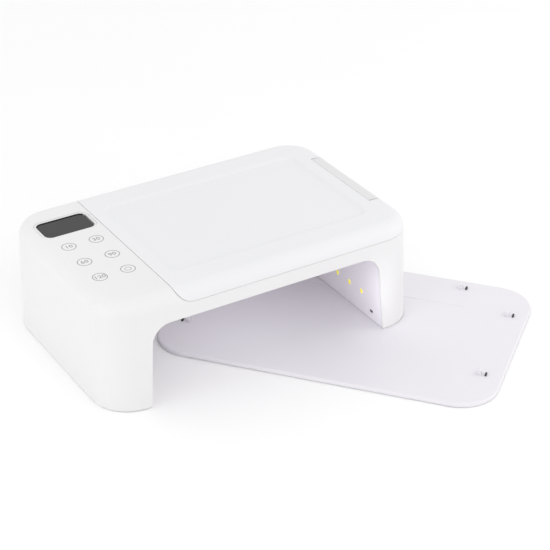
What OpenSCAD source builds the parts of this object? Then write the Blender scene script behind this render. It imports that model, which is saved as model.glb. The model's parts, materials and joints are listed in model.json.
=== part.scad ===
// A nail-curing lamp with a padded hand rest on top, and its removable base plate.
// The lamp is designed standing square on the floor with its left front corner at
// the origin. The pose modules at the end lay it with one leg on the loose plate.

/* [Lamp body] */
// Length of the lamp along X
body_len = 331.5; // [320:0.5:345]
// Depth of the lamp along Y
body_wid = 218; // [212:1:224]
// Height of the lamp with its feet
body_h = 108.5; // [104:0.5:112]
// Radius of the four upright corners
corner_r = 37; // [34:1:40]
// Radius of the rounded top edge
edge_r = 14; // [12:0.5:14.5]
// How far the side walls lean in over the whole height
draft = 3.3; // [2.5:0.1:4]
// Wall thickness of the housing
wall = 2.6; // [2.4:0.1:2.8]

/* [Hand tunnel] */
// Thickness of a leg at the floor
leg_t = 41.2; // [38:0.1:43]
// Height of the tunnel's ceiling above the floor
tunnel_h = 80.5; // [76:0.5:82]
// Radius of the tunnel's upper corners
tunnel_r = 19; // [16:0.5:20]
// How much a leg thickens from the floor to the tunnel's corner
leg_lean = 4.5; // [4:0.5:5]
// Depth of the tunnel, front to back
tunnel_d = 193; // [190:1:194]
// Thickness of the reflective liner
liner_t = 2; // [1.8:0.1:2.2]

/* [Hand rest and controls] */
// Where the control panel ends and the soft hand rest begins
split_x = 72; // [71:1:75]
// Lower edge of the hand rest on the side walls
pad_z = 94; // [91:0.5:96]
// Thickness of the soft cover
pad_t = 3; // [2.8:0.1:3.2]
// Depth of the shallow tray in the hand rest
tray_depth = 2.2; // [1:0.1:2.4]
// Width of the tray's soft sloping border
tray_slope = 5.5; // [5:0.5:7]
// Width of the seam between the control panel and the hand rest
seam = 0.5; // [0.3:0.1:0.6]
// Outer diameter of a touch ring
ring_d = 14; // [13:0.5:15]
// Width of a touch ring's line
ring_w = 0.8; // [0.6:0.1:1]

/* [Carry handle] */
// Length of the grip along Y
grip_len = 103; // [100:1:105]
// Height of the handle's pivots above the floor
handle_pivot_z = 54.5; // [50:0.5:58]
// Radius of the pivot pins
pin_r = 2; // [1.8:0.1:2.2]

/* [Base plate] */
// Thickness of the plate without its feet
plate_t = 3.7; // [3.4:0.1:4]
// Radius of the plate's rounded upper edge
plate_edge_r = 1.8; // [1.5:0.1:2]
// Turn of the loose plate seen from above
plate_turn = -49.8; // [-50:0.1:-49.6]

/* [Hidden] */
$fn = 64;
ARC = 10;            // steps in a quarter of the top edge's round
snug = 0.05;         // play between shells that are screwed together
gap = 0.4;           // play round a piece that drops into a seat
foot_h = 0.6;        // feet stand this far below the shells
board_t = 1.6;       // thickness of every circuit board
mid_y = body_wid / 2;
inner_wall_top = tunnel_h - tunnel_r; // height where the tunnel's corner begins
leg_angle = atan(leg_lean / inner_wall_top);
ceiling_z = tunnel_h + liner_t;
led_board_z = ceiling_z + 0.4;
back_clear = 2.4;    // the wall behind the tunnel stops this far above the floor
led_pitch = 21;
led_first_y = 36;
led_z = 25;
led_count = 6;
key_x = [27, 54.7];
key_y = [62.5, 94, 127];
lcd_min = [16.4, 150.8];
lcd_size = [50.8, 31.2];
lcd_r = 7;         // corners of the display's opening
control_z = body_h - 16;
rim_w = 2.1;         // width of the display's rim
sill_z = body_h - wall; // underside of the housing's top wall
seam_r = 20;         // sweep of the seam where it turns along the front and the back
seam_lead = 0.8;     // the sweep's share of the way at the top surface
low_seam = 0.3;      // seam along the hand rest's lower edge
head_sink = 0.8;     // depth of the seats that hide the cover's screw heads
pivot_x = body_len - 9.5;
arm_w = 11;
slot_end = 1.5;      // gap between the grip's end and its slot
grip_x = body_len - 21.5;
grip_z = pad_z + 1;  // underside of the folded grip, 1 mm above its seat
plate_len = body_len - 1.5;
plate_wid = body_wid;
plate_mid = [270.3, 33.5];
hook_at = [[19.8, 166.1], [21.8, 55.4], [plate_len - 19.8, 166.1], [plate_len - 21.8, 55.4],
    [74.8, 203.2], [plate_len - 74.8, 203.2]];
plate_top = foot_h + plate_t;
// The lamp leans about the outer edge of its left feet until its right feet meet the plate.
foot_in = 14;
foot_wid = 12;
tilt_x = foot_in;
right_foot_x = body_len - foot_in - foot_wid;
lamp_tilt = asin((plate_top + 0.1) / (right_foot_x - tilt_x));
// The row's origin is under the middle of everything, on the floor.
reach_x = (plate_len / 2 - corner_r) * cos(plate_turn)
    - (plate_wid / 2 - corner_r) * sin(plate_turn) + corner_r;
reach_y = -(plate_len / 2 - corner_r) * sin(plate_turn)
    + (plate_wid / 2 - corner_r) * cos(plate_turn) + corner_r;
origin = [(plate_mid[0] + reach_x) / 2, (plate_mid[1] - reach_y + body_wid) / 2, 0];

// ---- Shared shapes ----

function lean(z) = draft * z / body_h;

// To a thousandth, so that the straight walls and the round corners meet in one line.
function thou(v) = round(v * 1000) / 1000;

// Right-hand half of the body's section, inset by e, from height z0 up to the top.
function half_outline(half, e, z0) = concat(
    [[half - thou(e + lean(z0)), z0]],
    [for (i = [0:ARC]) let (a = 90 * i / ARC)
        [half - thou(lean(body_h - edge_r) + edge_r - (edge_r - e) * cos(a)),
         thou(body_h - edge_r + (edge_r - e) * sin(a))]]);

function mirrored(pts) = [for (i = [len(pts) - 1:-1:0]) [-pts[i][0], pts[i][1]]];

module corner_quarter(e, z0) {
    rotate_extrude(angle = 90)
        polygon(concat([[0, z0]], half_outline(corner_r, e, z0), [[0, body_h - e]]));
}

module section_bar(half, len, e, z0) {
    translate([0, len / 2, 0]) rotate([90, 0, 0]) linear_extrude(len)
        polygon(concat(half_outline(half, e, z0), mirrored(half_outline(half, e, z0))));
}

// The lamp's outer form, inset by e on every side and starting at height z0.
module body_form(e, z0) {
    cx = body_len / 2 - corner_r;
    cy = body_wid / 2 - corner_r;
    translate([body_len / 2, mid_y, 0]) {
        section_bar(body_len / 2, 2 * cy, e, z0);
        for (s = [0, 1]) rotate(180 * s) translate([0, cy, 0]) intersection() {
            rotate(90) section_bar(corner_r, 2 * cx, e, z0);
            translate([-cx, 0, z0]) cube([2 * cx, corner_r, body_h]);
        }
        for (q = [[1, 1, 0], [-1, 1, 90], [-1, -1, 180], [1, -1, 270]])
            translate([q[0] * cx, q[1] * cy, 0]) rotate(q[2]) corner_quarter(e, z0);
    }
}

// Rounded rectangle standing on the XY plane, from its low corner.
module round_slab(size, r, h) {
    linear_extrude(h) {
        translate([r, 0]) square([size[0] - 2 * r, size[1]]);
        translate([0, r]) square([size[0], size[1] - 2 * r]);
        for (x = [r, size[0] - r], y = [r, size[1] - r]) translate([x, y]) circle(r);
    }
}

function half_block(half, side) = concat([[0, side[0][1]]],
    [for (p = side) [half - p[0], p[1]]], [[0, side[len(side) - 1][1]]]);

module block_bar(half, len, side) {
    translate([0, len / 2, 0]) rotate([90, 0, 0]) linear_extrude(len) {
        polygon(half_block(half, side));
        mirror([1, 0]) polygon(half_block(half, side));
    }
}

// Block with round corners and shaped sides, about the Z axis. side lists [inset, height]
// from the bottom up.
module shaped_block(size, r, side) {
    cx = size[0] / 2 - r;
    cy = size[1] / 2 - r;
    z0 = side[0][1];
    block_bar(size[0] / 2, 2 * cy, side);
    for (s = [0, 1]) rotate(180 * s) translate([0, cy, 0]) intersection() {
        rotate(90) block_bar(r, 2 * cx, side);
        translate([-cx, 0, z0 - 1]) cube([2 * cx, r, 20]);
    }
    for (q = [[1, 1, 0], [-1, 1, 90], [-1, -1, 180], [1, -1, 270]])
        translate([q[0] * cx, q[1] * cy, 0]) rotate(q[2]) rotate_extrude(angle = 90)
            polygon(half_block(r, side));
}

module box(low, high) {
    translate(low) cube(high - low);
}

module on_both_legs() {
    children();
    translate([body_len, 0, 0]) mirror([1, 0, 0]) children();
}

// ---- Hand tunnel ----

// Section of the tunnel, grown by e: leaning legs, rounded upper corners, flat ceiling.
module tunnel_section(e) {
    low = leg_t - e;
    shoulder = leg_t + leg_lean - e;
    rc = tunnel_r + e;
    top = tunnel_h + e;
    polygon([[low, -1], [body_len - low, -1], [body_len - shoulder, top - rc],
        [body_len - shoulder - rc, top], [shoulder + rc, top], [shoulder, top - rc]]);
    for (x = [shoulder + rc, body_len - shoulder - rc]) translate([x, top - rc]) circle(rc);
}

module tunnel(e, y0, y1) {
    translate([0, y1, 0]) rotate([90, 0, 0]) linear_extrude(y1 - y0) tunnel_section(e);
}

// Space under the wall behind the tunnel.
module back_relief() {
    box([leg_t + 6, tunnel_d - 20, -1], [body_len - leg_t - 6, body_wid + 5, back_clear]);
}

// ---- Handle seat ----

// Room for the folded handle, grown by e.
module handle_room(e) {
    y0 = mid_y - grip_len / 2 - slot_end;
    y1 = mid_y + grip_len / 2 + slot_end;
    r = 6.5 + gap + e;
    out = body_len + 5;
    box([grip_x - gap - e, y0 - e, grip_z - 1 - e], [out, y1 + e, body_h + 5]);
    for (y = [y0, y1 - arm_w - 2 * slot_end]) {
        box([pivot_x - r, y - e, handle_pivot_z], [out, y + arm_w + 2 * slot_end + e, body_h]);
        translate([pivot_x, y - e, handle_pivot_z]) rotate([-90, 0, 0])
            cylinder(r = r, h = arm_w + 2 * slot_end + 2 * e);
        box([pivot_x, y - e, handle_pivot_z - r], [out, y + arm_w + 2 * slot_end + e,
            handle_pivot_z + r]);
    }
}

// ---- Housing and hand rest ----

// Everything right of the split and above the pad's lower edge, with a rounded low corner.
module pad_region(x0, z0, r) {
    translate([0, body_wid + 20, 0]) rotate([90, 0, 0]) linear_extrude(body_wid + 40) {
        translate([x0 + r, z0]) square([body_len, 40]);
        translate([x0, z0 + r]) square([body_len, 40]);
        translate([x0 + r, z0 + r]) circle(r);
    }
}

module cavity() {
    intersection() {
        body_form(wall, 0);
        union() {
            box([-5, -5, -1], [split_x - wall, body_wid + 5, body_h]);
            box([-5, -5, -1], [body_len + 5, body_wid + 5, pad_z - wall]);
        }
    }
    body_form(wall + pad_t, 0);
}

module key_seats(depth) {
    for (x = key_x, y = key_y) translate([x, y, body_h - depth]) difference() {
        cylinder(d = ring_d, h = depth + 1);
        translate([0, 0, -1]) cylinder(d = ring_d - 2 * ring_w, h = depth + 3);
    }
}

module power_mark(depth) {
    translate([key_x[1], key_y[0], body_h - depth]) {
        difference() {
            cylinder(d = 6.4, h = depth);
            translate([0, 0, -1]) cylinder(d = 5.2, h = depth + 2);
            translate([-1.3, 1, -1]) cube([2.6, 3, depth + 2]);
        }
        translate([-0.3, 1.2, 0]) cube([0.6, 2.8, depth]);
    }
}

module lcd_opening(e, z0, z1) {
    translate([lcd_min[0] - e, lcd_min[1] - e, z0])
        round_slab([lcd_size[0] + 2 * e, lcd_size[1] + 2 * e], lcd_r + e, z1 - z0);
}

jack_at = [60, 0, 40];
jack_r = 4;

module outer_housing() {
    color("white") difference() {
        body_form(0, foot_h);
        difference() {
            pad_region(split_x - seam_lead, pad_z, seam_r);
            body_form(pad_t, 0);
        }
        cavity();
        tunnel(0, -1, tunnel_d);
        back_relief();
        handle_room(0);
        lcd_opening(rim_w + 0.3, body_h - wall - 1, body_h + 1);
        key_seats(0.4);
        power_mark(0.4);
        translate([jack_at[0], body_wid + 5, jack_at[2]]) rotate([90, 0, 0])
            cylinder(r = jack_r, h = 20);
    }
}

tray_low = [84.5, 35.5];
tray_size = [213.5, body_wid - 2 * tray_low[1]];

// The tray's border: a soft S from the tray's floor up to the top surface.
function tray_side() = concat([for (t = [0:0.125:1])
    [thou(tray_slope * (1 - t)), thou(body_h - tray_depth * (1 + cos(180 * t)) / 2)]],
    [[0, body_h + 2]]);

module hand_rest_pad() {
    color("whitesmoke") difference() {
        intersection() {
            body_form(0, foot_h);
            pad_region(split_x - seam_lead + seam, pad_z + low_seam, seam_r - seam);
        }
        body_form(pad_t, 0);
        translate([tray_low[0] + tray_size[0] / 2, mid_y, 0])
            shaped_block(tray_size, 12, tray_side());
        handle_room(0);
    }
}

// Stiff board glued inside the housing's top under the hand rest.
module pad_backing_board() {
    top = body_h - pad_t - wall - snug;
    color("silver") translate([split_x + 14, 20, top - 2])
        round_slab([grip_x - split_x - 32, body_wid - 40], 6, 2);
}

// ---- Liner and underside ----

module bead_seats(size, depth) {
    for (i = [0:led_count - 1])
        translate([-depth, led_first_y + led_pitch * i - size[0] / 2, led_z - size[1] / 2])
            cube([depth + 2, size[0], size[1]]);
}

// Frame of a leg's inner wall: X points into the tunnel, Z runs up the wall.
module on_wall() {
    translate([leg_t, 0, 0]) rotate([0, leg_angle, 0]) children();
}

bead = [3, 4.5];
top_bead_x = [for (i = [0:4]) body_len / 2 + (i - 2) * 36];
top_bead_y = [for (i = [0:3]) 48 + i * 34];
back_bead_x = [for (i = [0:5]) body_len / 2 + (i - 2.5) * 34];
back_bead_z = 30;

module ir_slot(e, x0, x1) {
    on_wall() box([x0, 17.5 - e, 8.5 - e], [x1, 22.5 + e, 11.5 + e]);
}

module arch_liner() {
    color("lavender") difference() {
        intersection() {
            tunnel(liner_t, -1, tunnel_d + liner_t);
            body_form(wall + snug, foot_h);
        }
        tunnel(0, -2, tunnel_d);
        back_relief();
        on_both_legs() on_wall() bead_seats(bead + [0.4, 0.4], 4);
        on_both_legs() ir_slot(0.1, -4, 2);
        for (x = top_bead_x, y = top_bead_y)
            translate([x - bead[1] / 2 - 0.2, y - bead[0] / 2 - 0.2, tunnel_h - 1])
                cube([bead[1] + 0.4, bead[0] + 0.4, 5]);
        for (x = back_bead_x)
            translate([x - bead[0] / 2 - 0.2, tunnel_d - 1, back_bead_z - bead[1] / 2 - 0.2])
                cube([bead[0] + 0.4, 5, bead[1] + 0.4]);
        at_liner_screws() translate([0, 0, -4]) cylinder(r = 1.6, h = 10);
    }
}

module at_liner_screws() {
    for (x = [68, body_len - 68], y = [30, 175]) translate([x, y, tunnel_h]) children();
}

module at_cover_screws() {
    for (x = [31, body_len - 31], y = [45, 150]) translate([x, y, foot_h]) children();
    for (x = [110, body_len - 110]) translate([x, body_wid - 12, back_clear]) children();
}

module at_lamp_feet() {
    for (x = [foot_in, right_foot_x], y = [20, 103, body_wid - 32]) translate([x, y, 0])
        children();
}

module underside_cover() {
    color("white") difference() {
        union() {
            difference() {
                body_form(wall + snug, foot_h);
                box([-5, -5, foot_h + 2], [body_len + 5, body_wid + 5, body_h + 5]);
                back_relief();
            }
            intersection() {
                body_form(wall + snug, foot_h);
                box([leg_t + 3, tunnel_d - 5, back_clear], [body_len - leg_t - 3, body_wid,
                    back_clear + 2]);
            }
        }
        tunnel(liner_t + snug, -2, tunnel_d + liner_t + snug);
        for (h = hook_at) translate([h[0] - 7.5, h[1] - 3.5, -1]) cube([15, 7, 8]);
        at_cover_screws() translate([0, 0, -1]) {
            cylinder(r = 1.6, h = 6);
            cylinder(r = 2.8, h = 1 + head_sink);
        }
        at_lamp_feet() translate([0, 0, foot_h - 1]) cube([foot_wid, foot_wid, 1.6]);
    }
}

module screw(head_r, head_h, shank_r, shank_h) {
    difference() {
        translate([0, 0, -head_h]) cylinder(r = head_r, h = head_h);
        translate([0, 0, -head_h - 1]) cylinder(r = head_r * 0.42, h = 1 + head_h * 0.6, $fn = 6);
    }
    cylinder(r = shank_r, h = shank_h);
}

module cover_screws() {
    color("gray") at_cover_screws() translate([0, 0, head_sink]) screw(2.6, 0.6, 1.5, 8);
}

module liner_screws() {
    color("gray") at_liner_screws() screw(2.8, 1, 1.5, 6);
}

module lamp_feet() {
    color("lightgray") at_lamp_feet() round_slab([foot_wid, foot_wid], 3, foot_h + 0.6);
}

// ---- Control panel ----

// Rim round the display, held by a flange under the housing's top wall.
module lcd_bezel() {
    color("gainsboro") difference() {
        union() {
            lcd_opening(rim_w, sill_z - 1.2, body_h - 0.2);
            intersection() {
                lcd_opening(rim_w + 0.8, sill_z - 1.2, sill_z);
                body_form(wall + snug, 0);
                box([0, 0, 0], [split_x - wall - snug, body_wid, body_h]);
            }
        }
        lcd_opening(0, sill_z, body_h + 1);
        lcd_opening(-2, sill_z - 2, body_h);
    }
}

module lcd_window() {
    color("dimgray") lcd_opening(-1, sill_z, body_h - 1);
}

// Foam strip that fills the slit behind the pane and turns round its two rear corners.
module lcd_gasket() {
    color("black") difference() {
        lcd_opening(-0.05, sill_z, body_h - 0.4);
        lcd_opening(-0.95, sill_z - 1, body_h + 1);
        box([0, 0, 0], [split_x, lcd_min[1] + lcd_size[1] - 3, body_h + 1]);
    }
}

module lcd_module() {
    color("darkslategray") {
        lcd_opening(-2.5, body_h - 7, sill_z - 0.1);
        for (x = [4, lcd_size[0] - 4], y = [4, lcd_size[1] - 4])
            translate([lcd_min[0] + x, lcd_min[1] + y, control_z + board_t])
                cylinder(r = 1.5, h = body_h - 7 - control_z - board_t);
    }
}

module touch_rings() {
    color("darkgray") difference() {
        key_seats(0.4);
        box([0, 0, body_h], [split_x, body_wid, body_h + 5]);
    }
}

module power_icon() {
    color("darkgray") power_mark(0.4);
}

module touch_springs() {
    color("silver") for (x = key_x, y = key_y) translate([x, y, control_z + board_t])
        difference() {
            cylinder(r = 4, h = body_h - wall - control_z - board_t);
            translate([0, 0, -1]) cylinder(r = 3.2, h = 20);
        }
}

module control_board() {
    color("seagreen") translate([14, 50, control_z]) round_slab([52, 134], 3, board_t);
}

module control_chips() {
    color("black") for (c = [[36, 70, 14, 14], [40, 104, 10, 16], [38, 140, 12, 8]])
        translate([c[0], c[1], control_z - 1.5]) cube([c[2], c[3], 1.5]);
}

module buzzer() {
    color("black") translate([43, 112, control_z + board_t]) difference() {
        cylinder(r = 5, h = 6);
        translate([0, 0, 4]) cylinder(r = 1, h = 3);
    }
}

// ---- Light sources ----

module leg_board() {
    on_wall() box([-liner_t - 0.4 - board_t, 30, 10], [-liner_t - 0.4, 155, 40]);
}

module leg_beads() {
    on_wall() for (i = [0:led_count - 1])
        translate([-liner_t - 0.4, led_first_y + led_pitch * i - bead[0] / 2,
            led_z - bead[1] / 2]) cube([liner_t + 1, bead[0], bead[1]]);
}

module on_right_leg() {
    translate([body_len, 0, 0]) mirror([1, 0, 0]) children();
}

module led_board_left() {
    color("ivory") leg_board();
}

module led_board_right() {
    color("ivory") on_right_leg() leg_board();
}

module led_board_top() {
    color("ivory") box([80, 35, led_board_z], [body_len - 80, 165, led_board_z + board_t]);
}

back_board_y = tunnel_d + liner_t + 0.4;

module led_board_back() {
    color("ivory") box([70, back_board_y, 20], [body_len - 70, back_board_y + board_t, 40]);
}

module led_beads_left() {
    color("gold") leg_beads();
}

module led_beads_right() {
    color("gold") on_right_leg() leg_beads();
}

module led_beads_top() {
    color("gold") for (x = top_bead_x, y = top_bead_y)
        translate([x - bead[1] / 2, y - bead[0] / 2, tunnel_h - 0.6])
            cube([bead[1], bead[0], led_board_z - tunnel_h + 0.6]);
}

module led_beads_back() {
    color("gold") for (x = back_bead_x)
        translate([x - bead[0] / 2, tunnel_d - 0.6, back_bead_z - bead[1] / 2])
            cube([bead[0], back_board_y - tunnel_d + 0.6, bead[1]]);
}

// Flat ribbons from the ceiling board down to the leg boards and back to the rear board.
module led_ribbons() {
    color("white") {
        on_both_legs() {
            box([28, 90, led_board_z + board_t], [95, 100, led_board_z + board_t + 0.8]);
            box([27.2, 90, 45], [28, 100, led_board_z + board_t + 0.8]);
        }
        box([160, 160, led_board_z + board_t], [170, 203, led_board_z + board_t + 0.8]);
        box([160, 202.2, 42], [170, 203, led_board_z + board_t]);
    }
}

module ir_windows() {
    color("black") on_both_legs() ir_slot(0, -liner_t, -0.3);
}

module ir_boards() {
    color("seagreen") on_both_legs() on_wall() box([-6, 13, 7], [-liner_t - 0.3, 27.5, 12.5]);
}

// ---- Power ----

driver_low = [190, 60, ceiling_z + 4.5];

module driver_board() {
    color("seagreen") translate(driver_low) round_slab([56, 84], 3, board_t);
}

module driver_parts() {
    color("dimgray") translate(driver_low + [0, 0, board_t]) {
        for (y = [12, 30, 48]) translate([12, y, 0]) cylinder(r = 5, h = 7);
        translate([24, 8, 0]) cube([12, 12, 5]);
        translate([24, 26, 0]) cube([12, 12, 5]);
        translate([8, 64, 0]) cube([16, 12, 6]);
    }
}

module heat_sink() {
    color("silver") translate(driver_low + [38, 8, board_t]) {
        cube([14, 60, 1.5]);
        for (i = [0:4]) translate([i * 3, 0, 1.5]) cube([1.2, 60, 6]);
    }
}

cell_r = 9.2;
cell_x = 16;
cell_len = 65;

module at_cells() {
    for (y = [42, 112], z = [19, 38]) translate([cell_x, y, z]) children();
}

module battery_cells() {
    color("steelblue") at_cells() rotate([-90, 0, 0]) cylinder(r = cell_r, h = cell_len);
}

module battery_tray() {
    color("gray") difference() {
        box([6, 39, 7.2], [26.5, 180, 24]);
        box([cell_x - 8, 41.5, 9.6], [30, 177.5, 34]);
        at_cells() rotate([-90, 0, 0]) cylinder(r = cell_r + 0.1, h = cell_len);
    }
}

module battery_strap() {
    color("black") for (y = [66, 146]) translate([0, y, 0]) difference() {
        box([5, 0, 24.2], [26.4, 12, 49]);
        box([0, -1, 24], [25.6, 13, 47.4]);
    }
}

// Round power inlet in the back wall, with its contact pin.
module dc_jack() {
    y_out = body_wid - lean(jack_at[2]);
    color("black") {
        translate([jack_at[0], y_out - 0.4, jack_at[2]]) rotate([90, 0, 0]) difference() {
            cylinder(r = jack_r - 0.02, h = 3);
            translate([0, 0, -1]) cylinder(r = 2.9, h = 8);
        }
        translate([jack_at[0], y_out - 3.4, jack_at[2]]) rotate([90, 0, 0]) difference() {
            translate([-5.5, -5.5, 0]) cube([11, 11, 11]);
            translate([0, 0, -1]) cylinder(r = 2.9, h = 9);
        }
        translate([jack_at[0], y_out - 1.4, jack_at[2]]) rotate([90, 0, 0])
            cylinder(r = 1, h = 10.5);
    }
}

module dc_jack_board() {
    y_out = body_wid - lean(jack_at[2]);
    color("seagreen") box([jack_at[0] - 16, y_out - 15, jack_at[2] - 7.2],
        [jack_at[0] + 8, y_out - 4, jack_at[2] - 5.6]);
}

// ---- Carry handle ----

module handle_pocket() {
    color("white") difference() {
        intersection() {
            handle_room(1.6);
            cavity();
        }
        handle_room(0);
        at_pins(pin_r, 0);
    }
}

pin_len = arm_w + 2 * slot_end + 2.8;

module at_pins(r, cut) {
    y0 = mid_y - grip_len / 2 - slot_end;
    y1 = mid_y + grip_len / 2 + slot_end - arm_w - 2 * slot_end;
    for (y = [y0, y1]) translate([pivot_x, y - 1.4 - cut, handle_pivot_z]) rotate([-90, 0, 0])
        cylinder(r = r, h = pin_len + 2 * cut);
}

module handle_pins() {
    color("silver") at_pins(pin_r, 0);
}

module carry_handle() {
    y0 = mid_y - grip_len / 2;
    y1 = mid_y + grip_len / 2;
    color("gainsboro") difference() {
        intersection() {
            body_form(0.1, foot_h);
            union() {
                box([grip_x, y0, grip_z], [body_len + 5, y1, body_h + 5]);
                for (y = [y0, y1 - arm_w]) {
                    box([pivot_x - 6.5, y, handle_pivot_z], [pivot_x + 6.5, y + arm_w, grip_z]);
                    translate([pivot_x, y, handle_pivot_z]) rotate([-90, 0, 0])
                        cylinder(r = 6.5, h = arm_w);
                }
            }
        }
        at_pins(pin_r + 0.05, 1);
    }
}

// ---- Base plate ----

plate_hook_h = 5;

// The plate's side: upright, then rounded over into the top.
function plate_side() = concat([[0, foot_h]],
    [for (a = [0:18:90])
        [thou(plate_edge_r * (1 - cos(a))), thou(plate_top - plate_edge_r * (1 - sin(a)))]]);

// Low rib that marks the place of the wrists, in two lengths.
rib_y = 168.6;
rib_h = 0.35;
rib_spans = [[58.4, 147], [171.5, plate_len - 58.4]];

module base_plate() {
    color("white") {
        difference() {
            translate([plate_len / 2, plate_wid / 2, 0])
                shaped_block([plate_len, plate_wid], corner_r, plate_side());
            for (h = hook_at) translate([insert_x(h), h[1] - 2.4, 0]) cube([1.7, 4.6, 10]);
            at_plate_feet() translate([0, 0, foot_h - 1]) cylinder(r = 7.05, h = 1.6);
        }
        for (r = rib_spans) {
            translate([r[0], rib_y - 0.6, plate_top]) cube([r[1] - r[0], 1.2, rib_h]);
            for (x = r) translate([x, rib_y, plate_top]) cylinder(r = 0.6, h = rib_h, $fn = 24);
        }
    }
}

// Dark blocks beside the hooks, set into the plate and standing a little proud of it.
function insert_x(h) = h[0] < plate_len / 2 ? h[0] - 6.9 : h[0] + 5.2;

module plate_inserts() {
    color("black") for (h = hook_at) translate([insert_x(h), h[1] - 2.4, foot_h + 0.2])
        cube([1.7, 4.6, plate_t + 1.6]);
}

module plate_hooks() {
    color("white") for (h = hook_at) translate([h[0] - 2, h[1] - 2.5, plate_top])
        cube([4, 5, plate_hook_h]);
}

module at_plate_feet() {
    for (x = [26, plate_len - 26], y = [26, plate_wid - 26]) translate([x, y, 0]) children();
    for (y = [26, plate_wid - 26]) translate([plate_len / 2, y, 0]) children();
}

module plate_feet() {
    color("lightgray") at_plate_feet() cylinder(r = 7, h = foot_h + 0.6);
}

// ---- Poses ----

module lamp() {
    translate([tilt_x, 0, 0] - origin) rotate([0, -lamp_tilt, 0])
        translate([-tilt_x, 0, 0]) children();
}

module plate() {
    translate([plate_mid[0], plate_mid[1], 0] - origin) rotate([0, 0, plate_turn])
        translate([-plate_len / 2, -plate_wid / 2, 0]) children();
}

lamp() outer_housing();
lamp() hand_rest_pad();
lamp() pad_backing_board();
lamp() arch_liner();
lamp() underside_cover();
lamp() cover_screws();
lamp() liner_screws();
lamp() lamp_feet();
lamp() lcd_bezel();
lamp() lcd_window();
lamp() lcd_gasket();
lamp() lcd_module();
lamp() touch_rings();
lamp() power_icon();
lamp() touch_springs();
lamp() control_board();
lamp() control_chips();
lamp() buzzer();
lamp() led_board_left();
lamp() led_board_right();
lamp() led_board_top();
lamp() led_board_back();
lamp() led_beads_left();
lamp() led_beads_right();
lamp() led_beads_top();
lamp() led_beads_back();
lamp() led_ribbons();
lamp() ir_windows();
lamp() ir_boards();
lamp() driver_board();
lamp() driver_parts();
lamp() heat_sink();
lamp() battery_cells();
lamp() battery_tray();
lamp() battery_strap();
lamp() dc_jack();
lamp() dc_jack_board();
lamp() handle_pocket();
lamp() handle_pins();
lamp() carry_handle();
plate() base_plate();
plate() plate_hooks();
plate() plate_inserts();
plate() plate_feet();
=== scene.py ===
"""A nail curing lamp standing with one leg on its loose base plate.

The CAD frame gives every place and size. This script dresses it: each shell gets rounded
edges and a moulded-plastic surface, and the prints, the light beads and the screen get
their own materials.
"""
import json
import math

import bmesh
import bpy
from mathutils import Matrix, Vector


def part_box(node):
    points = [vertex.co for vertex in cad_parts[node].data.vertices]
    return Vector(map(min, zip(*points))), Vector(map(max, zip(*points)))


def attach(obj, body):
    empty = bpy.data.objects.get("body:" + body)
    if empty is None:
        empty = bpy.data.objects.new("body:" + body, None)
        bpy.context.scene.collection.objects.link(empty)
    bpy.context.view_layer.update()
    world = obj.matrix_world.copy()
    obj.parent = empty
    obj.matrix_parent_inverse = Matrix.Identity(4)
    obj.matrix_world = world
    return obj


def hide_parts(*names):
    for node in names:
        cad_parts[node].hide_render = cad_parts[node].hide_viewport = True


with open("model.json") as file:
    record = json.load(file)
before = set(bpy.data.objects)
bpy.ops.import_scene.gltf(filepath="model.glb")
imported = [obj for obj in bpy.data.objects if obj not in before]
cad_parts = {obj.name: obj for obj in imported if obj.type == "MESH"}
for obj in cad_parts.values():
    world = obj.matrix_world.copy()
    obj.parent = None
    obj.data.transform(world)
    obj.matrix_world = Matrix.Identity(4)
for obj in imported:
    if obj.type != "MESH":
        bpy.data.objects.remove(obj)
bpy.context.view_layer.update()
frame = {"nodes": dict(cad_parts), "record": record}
NODES = frame["nodes"]
SLOT = {part["node"]: part["material_slot"] for part in frame["record"]["subparts"]}
BODY = {node: body for body, nodes in frame["record"]["behaviour"]["bodies"].items()
        for node in nodes}
MM = 0.001

# ---- Camera ----

CAMERA_TARGET = Vector((-0.01135, 0.0350, 0.0525))
CAMERA_AZIMUTH = math.radians(-31.135)
CAMERA_ELEVATION = math.radians(29.767)
CAMERA_DISTANCE = 1.6329
CAMERA_ROLL = math.radians(0.17)
CAMERA_LENS = 112.02  # millimetres
SENSOR_WIDTH = 36


def make_camera():
    data = bpy.data.cameras.new("camera")
    data.lens = CAMERA_LENS
    data.sensor_width = SENSOR_WIDTH
    data.clip_start, data.clip_end = 0.05, 30
    camera = bpy.data.objects.new("camera", data)
    back = Vector((math.sin(CAMERA_AZIMUTH) * math.cos(CAMERA_ELEVATION),
                   -math.cos(CAMERA_AZIMUTH) * math.cos(CAMERA_ELEVATION),
                   math.sin(CAMERA_ELEVATION)))
    camera.location = CAMERA_TARGET + back * CAMERA_DISTANCE
    turn = (-back).to_track_quat("-Z", "Y").to_matrix()
    roll = Matrix.Rotation(CAMERA_ROLL, 3, back)
    camera.rotation_euler = (roll @ turn).to_euler()
    bpy.context.collection.objects.link(camera)
    bpy.context.scene.camera = camera


# ---- Materials ----

NOISE_LOW, NOISE_HIGH = 0.3, 0.7  # where nearly all of a noise texture's values lie
RELIEF_DEPTH = 0.2 * MM
ACRYLIC_IOR = 1.49
HAZED_IOR = 1.44


def new_material(name):
    mat = bpy.data.materials.new(name)
    mat.use_nodes = True
    nodes, links = mat.node_tree.nodes, mat.node_tree.links
    return mat, nodes, links, nodes["Principled BSDF"]


def add_noise(nodes, links, scale, detail=3.0, roughness=0.55):
    """Noise in each piece's own coordinates."""
    place = nodes.new("ShaderNodeTexCoord")
    noise = nodes.new("ShaderNodeTexNoise")
    noise.inputs["Scale"].default_value = scale
    noise.inputs["Detail"].default_value = detail
    noise.inputs["Roughness"].default_value = roughness
    links.new(place.outputs["Object"], noise.inputs["Vector"])
    return noise


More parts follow.
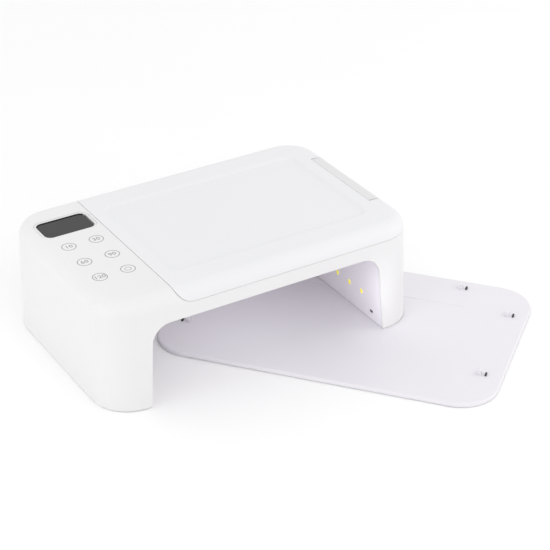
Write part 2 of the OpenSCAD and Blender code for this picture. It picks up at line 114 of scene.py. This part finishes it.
def spread(nodes, links, source, low, high):
    """Map a noise value onto low..high."""
    remap = nodes.new("ShaderNodeMapRange")
    remap.inputs["From Min"].default_value = NOISE_LOW
    remap.inputs["From Max"].default_value = NOISE_HIGH
    remap.inputs["To Min"].default_value = low
    remap.inputs["To Max"].default_value = high
    links.new(source, remap.inputs["Value"])
    return remap.outputs["Result"]


def tint(nodes, links, source, dark, light):
    """Map a noise value onto the colours from dark to light."""
    ramp = nodes.new("ShaderNodeValToRGB")
    first, last = ramp.color_ramp.elements
    first.position, first.color = NOISE_LOW, (*dark, 1)
    last.position, last.color = NOISE_HIGH, (*light, 1)
    links.new(source, ramp.inputs["Fac"])
    return ramp.outputs["Color"]


def add_relief(nodes, links, shader, height, strength):
    """A shallow bump over the whole surface."""
    relief = nodes.new("ShaderNodeBump")
    relief.inputs["Strength"].default_value = strength
    relief.inputs["Distance"].default_value = RELIEF_DEPTH
    links.new(height, relief.inputs["Height"])
    links.new(relief.outputs["Normal"], shader.inputs["Normal"])


def scaled(colour, factor):
    return tuple(c * factor for c in colour)


def plastic(name, colour, rough=0.38, grain=1400.0, bump=0.05, vary=0.985):
    """Injection-moulded plastic: a very fine spark-eroded grain and faint cloudy flow marks."""
    mat, nodes, links, shader = new_material(name)
    clouds = add_noise(nodes, links, 14.0)
    links.new(tint(nodes, links, clouds.outputs["Fac"], scaled(colour, vary), colour),
              shader.inputs["Base Color"])
    fine = add_noise(nodes, links, grain, 2.0)
    links.new(spread(nodes, links, fine.outputs["Fac"], rough * 0.9, rough * 1.1),
              shader.inputs["Roughness"])
    add_relief(nodes, links, shader, fine.outputs["Fac"], bump)
    shader.inputs["IOR"].default_value = ACRYLIC_IOR
    return mat


def silicone(name, colour):
    """Soft matt skin of the hand rest: a fine pebble and a faint sheen."""
    mat, nodes, links, shader = new_material(name)
    clouds = add_noise(nodes, links, 9.0)
    links.new(tint(nodes, links, clouds.outputs["Fac"], scaled(colour, 0.99), colour),
              shader.inputs["Base Color"])
    place = nodes.new("ShaderNodeTexCoord")
    pebble = nodes.new("ShaderNodeTexVoronoi")
    pebble.inputs["Scale"].default_value = 900.0
    links.new(place.outputs["Object"], pebble.inputs["Vector"])
    links.new(spread(nodes, links, clouds.outputs["Fac"], 0.44, 0.52),
              shader.inputs["Roughness"])
    add_relief(nodes, links, shader, pebble.outputs["Distance"], 0.06)
    shader.inputs["Sheen Weight"].default_value = 0.08
    return mat


def metal(name, colour, rough=0.3):
    """Turned or rolled metal with fine streaks along the piece's Z."""
    mat, nodes, links, shader = new_material(name)
    place = nodes.new("ShaderNodeTexCoord")
    stretch = nodes.new("ShaderNodeMapping")
    stretch.inputs["Scale"].default_value = (1.0, 1.0, 0.08)
    streak = nodes.new("ShaderNodeTexNoise")
    streak.inputs["Scale"].default_value = 2500.0
    links.new(place.outputs["Object"], stretch.inputs["Vector"])
    links.new(stretch.outputs["Vector"], streak.inputs["Vector"])
    links.new(tint(nodes, links, streak.outputs["Fac"], scaled(colour, 0.9), colour),
              shader.inputs["Base Color"])
    links.new(spread(nodes, links, streak.outputs["Fac"], rough * 0.8, rough * 1.3),
              shader.inputs["Roughness"])
    shader.inputs["Metallic"].default_value = 1.0
    return mat


def circuit_board(name, colour):
    """Solder mask with faint tracks under it."""
    mat, nodes, links, shader = new_material(name)
    place = nodes.new("ShaderNodeTexCoord")
    tracks = nodes.new("ShaderNodeTexBrick")
    tracks.inputs["Scale"].default_value = 90.0
    tracks.inputs["Mortar Size"].default_value = 0.06
    tracks.inputs["Color1"].default_value = (*colour, 1)
    tracks.inputs["Color2"].default_value = (*scaled(colour, 0.93), 1)
    tracks.inputs["Mortar"].default_value = (*scaled(colour, 0.8), 1)
    links.new(place.outputs["Object"], tracks.inputs["Vector"])
    links.new(tracks.outputs["Color"], shader.inputs["Base Color"])
    shader.inputs["Roughness"].default_value = 0.32
    return mat


def phosphor(name):
    """Yellow light-emitting bead: clear resin over grains of phosphor, with a faint glow."""
    mat, nodes, links, shader = new_material(name)
    cells = add_noise(nodes, links, 900.0)
    links.new(tint(nodes, links, cells.outputs["Fac"], (0.86, 0.70, 0.06), (0.95, 0.84, 0.14)),
              shader.inputs["Base Color"])
    shader.inputs["Roughness"].default_value = 0.25
    shader.inputs["Emission Color"].default_value = (1.0, 0.88, 0.05, 1)
    shader.inputs["Emission Strength"].default_value = 0.35
    return mat


def smoked_screen(name):
    """Smoked acrylic over an unlit display."""
    mat, nodes, links, shader = new_material(name)
    haze = add_noise(nodes, links, 60.0)
    smoke = tint(nodes, links, haze.outputs["Fac"], (0.010, 0.009, 0.010), (0.014, 0.012, 0.014))
    links.new(smoke, shader.inputs["Base Color"])
    links.new(spread(nodes, links, haze.outputs["Fac"], 0.16, 0.22), shader.inputs["Roughness"])
    shader.inputs["IOR"].default_value = HAZED_IOR
    return mat


WHITE = (0.800, 0.792, 0.798)
PAD_WHITE = (0.798, 0.798, 0.812)
# Lighter than the housing white: painted light that brightens the shaded inside of the arch,
# standing in for light bouncing round the tunnel.
LINER_WHITE_PAINTED_BOUNCE = (0.900, 0.870, 0.930)
PLATE_WHITE = (0.795, 0.778, 0.818)

MATERIALS = {
    "housing_white": plastic("housing_white", WHITE, 0.34),
    "hand_rest": silicone("hand_rest", PAD_WHITE),
    "liner": plastic("liner", LINER_WHITE_PAINTED_BOUNCE, 0.45),
    "handle_grey": plastic("handle_grey", (0.735, 0.735, 0.735), 0.42, bump=0.12),
    "plate_white": plastic("plate_white", PLATE_WHITE, 0.36),
    "foot_rubber": plastic("foot_rubber", (0.60, 0.60, 0.60), 0.7, 700.0, 0.2),
    "bezel": plastic("bezel", (0.78, 0.78, 0.78), 0.3),
    "lcd_smoke": smoked_screen("lcd_smoke"),
    "print_grey": plastic("print_grey", (0.30, 0.30, 0.31), 0.5, vary=0.9),
    "pcb_white": circuit_board("pcb_white", (0.80, 0.80, 0.78)),
    "pcb_green": circuit_board("pcb_green", (0.02, 0.16, 0.06)),
    "led_yellow": phosphor("led_yellow"),
    "black_plastic": plastic("black_plastic", (0.02, 0.02, 0.02), 0.4, vary=0.8),
    "steel": metal("steel", (0.60, 0.61, 0.62)),
    "aluminium": metal("aluminium", (0.80, 0.81, 0.82), 0.4),
    "cell_wrap": plastic("cell_wrap", (0.05, 0.16, 0.42), 0.3, vary=0.9),
    "board_grey": plastic("board_grey", (0.40, 0.41, 0.42), 0.5),
}


def dress_nodes():
    """Every CAD node takes the material of its slot."""
    for node, slot in SLOT.items():
        mesh = NODES[node].data
        mesh.materials.clear()
        mesh.materials.append(MATERIALS[slot])


# ---- Shells with rounded edges ----

WELD_DISTANCE = 0.002 * MM
FLAT_ANGLE = math.radians(0.15)
EDGE_ANGLE = math.radians(24)
NORMAL_WEIGHT = 60    # how far large faces rule the shading of their corners
BEAD_SIDES = ("left", "right", "top", "back")

# Node, name of its piece, edge radius in millimetres, segments of the rounding.
SHELLS = (
    ("arch_liner", "tunnel_liner", 0.3, 2),
    ("carry_handle", "folding_handle", 0.8, 3),
    ("base_plate", "base_tray", 0.25, 2),
    ("plate_hooks", "dock_hooks", 0.6, 3),
    ("underside_cover", "bottom_cover", 0.3, 2),
    ("handle_pocket", "handle_seat", 0.25, 2),
    ("lamp_feet", "rubber_feet", 0.25, 2),
    ("plate_feet", "plate_pads", 0.25, 2),
    *(("led_beads_" + side, "light_beads_" + side, 0.5, 3) for side in BEAD_SIDES),
    ("lcd_bezel", "display_rim", 0.3, 3),
    ("lcd_window", "display_pane", 0.15, 2),
    ("lcd_gasket", "display_gasket", 0.15, 2),
    ("plate_inserts", "dock_inserts", 0.2, 2),
)


def dissolved_copy(node):
    """The node's solid as one welded mesh, with flat faces whole again."""
    mesh = bmesh.new()
    mesh.from_mesh(NODES[node].data)
    bmesh.ops.remove_doubles(mesh, verts=mesh.verts, dist=WELD_DISTANCE)
    bmesh.ops.dissolve_limit(mesh, angle_limit=FLAT_ANGLE, verts=mesh.verts, edges=mesh.edges)
    return mesh


def add_piece(name, mesh, node):
    """A finished piece that stands for a CAD node."""
    data = bpy.data.meshes.new(name)
    mesh.to_mesh(data)
    mesh.free()
    data.materials.append(MATERIALS[SLOT[node]])
    piece = bpy.data.objects.new(name, data)
    bpy.context.collection.objects.link(piece)
    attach(piece, BODY[node])
    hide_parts(node)
    return piece


def rounded_shell(node, name, radius, segments):
    """The node with every sharp edge rounded off, as moulded plastic has it."""
    piece = add_piece(name, dissolved_copy(node), node)
    for face in piece.data.polygons:
        face.use_smooth = True
    bevel = piece.modifiers.new("edges", "BEVEL")
    bevel.width = radius * MM
    bevel.segments = segments
    bevel.limit_method = "ANGLE"
    bevel.angle_limit = EDGE_ANGLE
    bevel.miter_outer = "MITER_ARC"
    weighted = piece.modifiers.new("normals", "WEIGHTED_NORMAL")
    weighted.keep_sharp = True
    weighted.weight = NORMAL_WEIGHT
    return piece


# ---- Numbers on the keys ----

# Seconds, in the order of key_centres(). The second key carries the power mark instead.
KEY_NUMBERS = ("120", None, "60", "90", "10", "30")
DIGIT_SIZE = 7.3 * MM
STROKE_GAIN = 0.08 * MM
PRINT_HALF = 0.03 * MM   # half the thickness of the ink
PRINT_LIFT = 0.2 * MM    # height of the ink's middle over the middles of the rings
ROW_STEP = 10 * MM       # less than the distance between two rows of keys


def islands(node):
    """The separate solids of a node, each as a list of its corners."""
    mesh = dissolved_copy(node)
    left = set(mesh.verts)
    found = []
    while left:
        todo = [left.pop()]
        part = []
        while todo:
            vert = todo.pop()
            part.append(vert.co.copy())
            for edge in vert.link_edges:
                other = edge.other_vert(vert)
                if other in left:
                    left.remove(other)
                    todo.append(other)
        found.append(part)
    mesh.free()
    return found


def key_centres():
    """Middles of the six rings, the front row first and the left key first in each row."""
    rings = [sum(ring, Vector()) / len(ring) for ring in islands("touch_rings")]
    rings.sort(key=lambda c: (round(c.y / ROW_STEP), c.x))
    return rings


def print_number(text, middle, tilt):
    """A printed number, a very thin slab lying on the control panel."""
    curve = bpy.data.curves.new("number", "FONT")
    curve.body = text
    curve.size = DIGIT_SIZE
    curve.offset = STROKE_GAIN
    curve.space_character = 1.05
    curve.align_x = "CENTER"
    curve.align_y = "CENTER"
    curve.extrude = PRINT_HALF
    curve.resolution_u = 4
    stand_in = bpy.data.objects.new("number", curve)
    bpy.context.collection.objects.link(stand_in)
    bpy.context.view_layer.update()
    data = bpy.data.meshes.new_from_object(stand_in)
    bpy.data.objects.remove(stand_in)
    mesh = bmesh.new()
    mesh.from_mesh(data)
    bmesh.ops.remove_doubles(mesh, verts=mesh.verts, dist=0.0001 * MM)
    mesh.to_mesh(data)
    mesh.free()
    data.materials.clear()
    data.materials.append(MATERIALS["print_grey"])
    piece = bpy.data.objects.new("number_" + text, data)
    bpy.context.collection.objects.link(piece)
    piece.matrix_world = Matrix.Translation(middle + Vector((0, 0, PRINT_LIFT))) @ tilt
    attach(piece, "lamp")


def print_numbers():
    """The numbers follow the lamp's lean, which the last row of keys shows."""
    centres = key_centres()
    left, right = centres[-2:]
    tilt = Matrix.Rotation(-math.atan2(right.z - left.z, right.x - left.x), 4, "Y")
    for text, centre in zip(KEY_NUMBERS, centres):
        if text:
            print_number(text, centre, tilt)


# ---- Studio ----

FLOOR_HALF = 6.0
FLOOR_DARK = (0.945, 0.945, 0.945)
FLOOR_LIGHT = (0.955, 0.955, 0.955)
WORLD_STRENGTH = 0.97
ARCH_LIGHT_HEIGHT = 0.069
OPEN_BEAM = 180.0

# Name, place, aim, width and height in metres, watts, beam in degrees.
LIGHTS = (
    ("key", (-0.3, -1.5, 1.5), (0, 0, 0.03), (1.2, 0.8), 2.4, OPEN_BEAM),
    ("right", (1.5, -0.8, 0.8), (0, 0, 0.05), (1.2, 1.2), 4.6, OPEN_BEAM),
    ("left", (-1.8, -0.2, 0.5), (0, 0, 0.05), (1.6, 1.0), 3.3, OPEN_BEAM),
    ("floor_left", (-0.42, 0.05, 0.7), (-0.42, 0.05, 0), (0.2, 0.4), 0.07, 50),
    ("tunnel_wall", (-0.01, -0.07, 0.05), (0.12, -0.02, 0.035), (0.03, 0.03), 0.0041, 69),
    ("right_leg", (-0.05, -0.55, 0.28), (0.13, -0.03, 0.03), (0.25, 0.2), 0.010, 35),
)


def make_floor():
    """A sheet of white paper, far larger than the view."""
    mesh = bmesh.new()
    bmesh.ops.create_grid(mesh, x_segments=1, y_segments=1, size=FLOOR_HALF)
    data = bpy.data.meshes.new("floor")
    mesh.to_mesh(data)
    mesh.free()
    mat, nodes, links, shader = new_material("floor_paper")
    paper = add_noise(nodes, links, 3.0)
    links.new(tint(nodes, links, paper.outputs["Fac"], FLOOR_DARK, FLOOR_LIGHT),
              shader.inputs["Base Color"])
    shader.inputs["Roughness"].default_value = 0.95
    data.materials.append(mat)
    floor = bpy.data.objects.new("floor", data)
    bpy.context.collection.objects.link(floor)


def area_light(name, place, aim, size, power, beam):
    data = bpy.data.lights.new(name, "AREA")
    data.shape = "RECTANGLE"
    data.size, data.size_y = size
    data.energy = power
    data.spread = math.radians(beam)
    light = bpy.data.objects.new(name, data)
    light.location = place
    light.rotation_euler = (Vector(aim) - Vector(place)).to_track_quat("-Z", "Y").to_euler()
    light.visible_camera = False
    bpy.context.collection.objects.link(light)


def make_lights():
    """A white tent all round, with soft fills at the sides, in front and under the arch."""
    bpy.context.scene.view_settings.view_transform = "Standard"
    world = bpy.data.worlds.new("studio")
    world.use_nodes = True
    back = world.node_tree.nodes["Background"]
    back.inputs["Color"].default_value = (1.0, 1.0, 1.0, 1)
    back.inputs["Strength"].default_value = WORLD_STRENGTH
    bpy.context.scene.world = world
    for light in LIGHTS:
        area_light(*light)
    low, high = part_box("arch_liner")
    middle = Vector(((low[0] + high[0]) / 2, (low[1] + high[1]) / 2, ARCH_LIGHT_HEIGHT))
    below = middle + Vector((0, 0.0001, -ARCH_LIGHT_HEIGHT))
    area_light("under_arch", middle, below, (0.16, 0.12), 0.024, OPEN_BEAM)


make_camera()
dress_nodes()
rounded_shell("outer_housing", "housing_shell", 0.5, 3)
rounded_shell("hand_rest_pad", "hand_rest_cover", 0.7, 4)
for shell in SHELLS:
    rounded_shell(*shell)
print_numbers()
make_floor()
make_lights()
